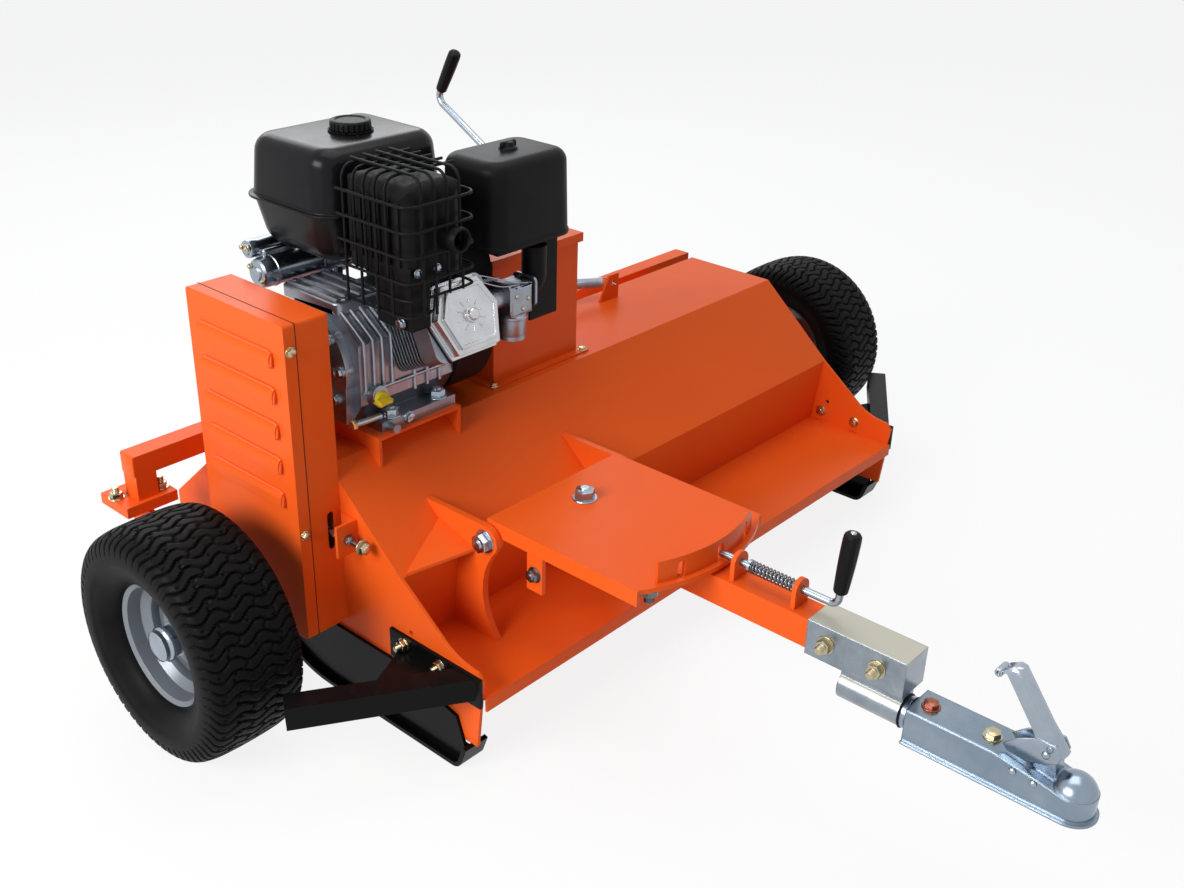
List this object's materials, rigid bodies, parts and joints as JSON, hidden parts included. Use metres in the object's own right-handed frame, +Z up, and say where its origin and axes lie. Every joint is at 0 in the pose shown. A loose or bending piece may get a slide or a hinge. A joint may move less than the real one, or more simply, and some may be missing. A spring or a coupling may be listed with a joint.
{
  "type": "flail mower",
  "caption": "Tow-behind flail mower with an engine on an orange deck, belt drive to a hammer rotor, crank-set wheels and a swinging ball-coupler tongue.",
  "frame": {"origin": "centre of the part's box at floor level", "axes": "+Z up, -Y the towing direction, +X the machine's left"},
  "size_m": [1.925, 1.692, 0.9834],
  "materials": {
    "orange_paint": "gloss powder coat",
    "black_paint": "gloss enamel",
    "black_heat_paint": "matt heat-proof paint",
    "tank_paint": "gloss enamel",
    "black_plastic": "fine moulded grain",
    "engine_alloy": "as cast",
    "yellow_plastic": "moulded",
    "zinc": "bright zinc plate",
    "spring_steel": "oiled",
    "cast_steel": "machined",
    "tyre_rubber": "turf tread",
    "belt_rubber": "wrapped v-belt",
    "grip_rubber": "ribbed grip",
    "rim_paint": "silver paint"
  },
  "bodies": {
    "mower_deck": {"deck_shell": "orange_paint", "side_plate_right": "orange_paint", "side_plate_left": "orange_paint", "hitch_lugs": "orange_paint", "engine_bed": "orange_paint", "battery_box": "orange_paint", "battery_box_lid": "orange_paint", "belt_guard_back": "orange_paint", "belt_guard_cover": "orange_paint", "tension_tab": "orange_paint", "skids": "black_paint", "deflectors": "black_paint", "deck_lugs": "orange_paint", "rear_spring": "spring_steel", "rotor_bearings": "cast_steel", "drive_belts": "belt_rubber", "crankcase": "engine_alloy", "crankcase_cover": "engine_alloy", "cylinder_block": "engine_alloy", "valve_cover": "engine_alloy", "muffler": "black_heat_paint", "muffler_guard": "black_heat_paint", "fuel_tank": "tank_paint", "air_cleaner_cover": "black_plastic", "air_cleaner_base": "black_heat_paint", "carburettor": "engine_alloy", "blower_housing": "black_heat_paint", "recoil_starter": "black_heat_paint", "starter_motor": "engine_alloy", "oil_dipstick": "yellow_plastic", "foot_bolts": "zinc", "hinge_bolts": "zinc"},
    "fuel_cap": {"fuel_cap": "black_plastic"},
    "rotor": {"rotor_drum": "black_paint", "rotor_pulley": "cast_steel"},
    "flails_low": {"flail_row_1": "black_paint"},
    "flails_rear": {"flail_row_2": "black_paint"},
    "flails_front": {"flail_row_3": "black_paint"},
    "engine_shaft": {"clutch_pulley": "cast_steel"},
    "belt_tensioner": {"tension_stud": "zinc"},
    "idler": {"idler_pulley": "cast_steel"},
    "wheel_frame": {"wheel_frame": "orange_paint", "wheel_arms": "orange_paint"},
    "wheel_right": {"tyre_right": "tyre_rubber", "rim_right": "rim_paint", "hub_right": "zinc"},
    "wheel_left": {"tyre_left": "tyre_rubber", "rim_left": "rim_paint", "hub_left": "zinc"},
    "lift_nut": {"lift_nut": "zinc"},
    "lift_crank": {"crank_screw": "zinc"},
    "crank_grip": {"crank_grip": "grip_rubber"},
    "hitch": {"hitch_plate": "orange_paint"},
    "tongue": {"tongue_beam": "orange_paint", "coupler_sleeve": "zinc", "lock_spring": "spring_steel"},
    "lock_pin": {"lock_pin": "zinc"},
    "coupler": {"coupler_body": "zinc"},
    "coupler_lever": {"coupler_lever": "zinc"}
  },
  "joints": [
    {"name": "fuel_cap_turn", "type": "hinge", "parent": "mower_deck", "child": "fuel_cap", "pos_m": [-0.42576, 0.51575, 0.934], "axis": [0, 0, 1], "range_deg": [0, 90]},
    {"name": "rotor_spin", "type": "hinge", "parent": "mower_deck", "child": "rotor", "pos_m": [0, 0.471, 0.225], "axis": [1, 0, 0], "continuous": true},
    {"name": "flails_low_swing", "type": "hinge", "parent": "rotor", "child": "flails_low", "pos_m": [0, 0.471, 0.145], "axis": [1, 0, 0], "range_deg": [-70, 70]},
    {"name": "flails_rear_swing", "type": "hinge", "parent": "rotor", "child": "flails_rear", "pos_m": [0, 0.54028, 0.265], "axis": [1, 0, 0], "range_deg": [-2, 190]},
    {"name": "flails_front_swing", "type": "hinge", "parent": "rotor", "child": "flails_front", "pos_m": [0, 0.40172, 0.265], "axis": [1, 0, 0], "range_deg": [-190, 2]},
    {"name": "engine_spin", "type": "hinge", "parent": "mower_deck", "child": "engine_shaft", "pos_m": [-0.672, 0.471, 0.576], "axis": [1, 0, 0], "continuous": true},
    {"name": "belt_tension", "type": "slide", "parent": "mower_deck", "child": "belt_tensioner", "axis": [0, 1, 0], "range_m": [-0.01, 0]},
    {"name": "idler_spin", "type": "hinge", "parent": "belt_tensioner", "child": "idler", "pos_m": [-0.672, 0.38411, 0.336], "axis": [1, 0, 0], "continuous": true},
    {"name": "wheel_frame_tilt", "type": "hinge", "parent": "mower_deck", "child": "wheel_frame", "pos_m": [0, 0.638, 0.422], "axis": [1, 0, 0], "range_deg": [0, 15]},
    {"name": "wheel_right_spin", "type": "hinge", "parent": "wheel_frame", "child": "wheel_right", "pos_m": [-0.875, 0.438, 0.203], "axis": [1, 0, 0], "continuous": true},
    {"name": "wheel_left_spin", "type": "hinge", "parent": "wheel_frame", "child": "wheel_left", "pos_m": [0.875, 0.438, 0.203], "axis": [1, 0, 0], "continuous": true},
    {"name": "lift_nut_pivot", "type": "hinge", "parent": "wheel_frame", "child": "lift_nut", "pos_m": [-0.01, 0.79803, 0.48504], "axis": [1, 0, 0], "range_deg": [-15, 0]},
    {"name": "crank_turn", "type": "hinge", "parent": "mower_deck", "child": "lift_crank", "pos_m": [-0.01, 0.78779, 0.50503], "axis": [0, 0.4848, -0.8746], "range_deg": [0, 1012.5]},
    {"name": "crank_grip_spin", "type": "hinge", "parent": "lift_crank", "child": "crank_grip", "pos_m": [-0.01, 0.76018, 0.88075], "axis": [0, 0.4848, -0.8746], "continuous": true},
    {"name": "hitch_tilt", "type": "hinge", "parent": "mower_deck", "child": "hitch", "pos_m": [-0.325, 0.136, 0.337], "axis": [-1, 0, 0], "range_deg": [0, 25]},
    {"name": "tongue_swing", "type": "hinge", "parent": "hitch", "child": "tongue", "pos_m": [-0.325, 0.074, 0.332], "axis": [0, 0, 1], "range_deg": [-17, 17]},
    {"name": "lock_pin_slide", "type": "slide", "parent": "tongue", "child": "lock_pin", "axis": [0, 1, 0], "range_m": [-0.025, 0.014], "deforming": ["lock_spring"]},
    {"name": "coupler_swivel", "type": "hinge", "parent": "tongue", "child": "coupler", "pos_m": [-0.325, -0.566, 0.263], "axis": [0, 1, 0], "range_deg": [-90, 90]},
    {"name": "coupler_lever_lift", "type": "hinge", "parent": "coupler", "child": "coupler_lever", "pos_m": [-0.325, -0.771, 0.324], "axis": [1, 0, 0], "range_deg": [0, 45]}
  ],
  "couplings": [
    {"joint": "engine_spin", "follows": "rotor_spin", "ratio": 1.1333},
    {"joint": "idler_spin", "follows": "rotor_spin", "ratio": -3.45},
    {"joint": "lift_nut_pivot", "follows": "wheel_frame_tilt", "ratio": -1},
    {"joint": "crank_turn", "follows": "wheel_frame_tilt", "ratio": 67.5}
  ]
}
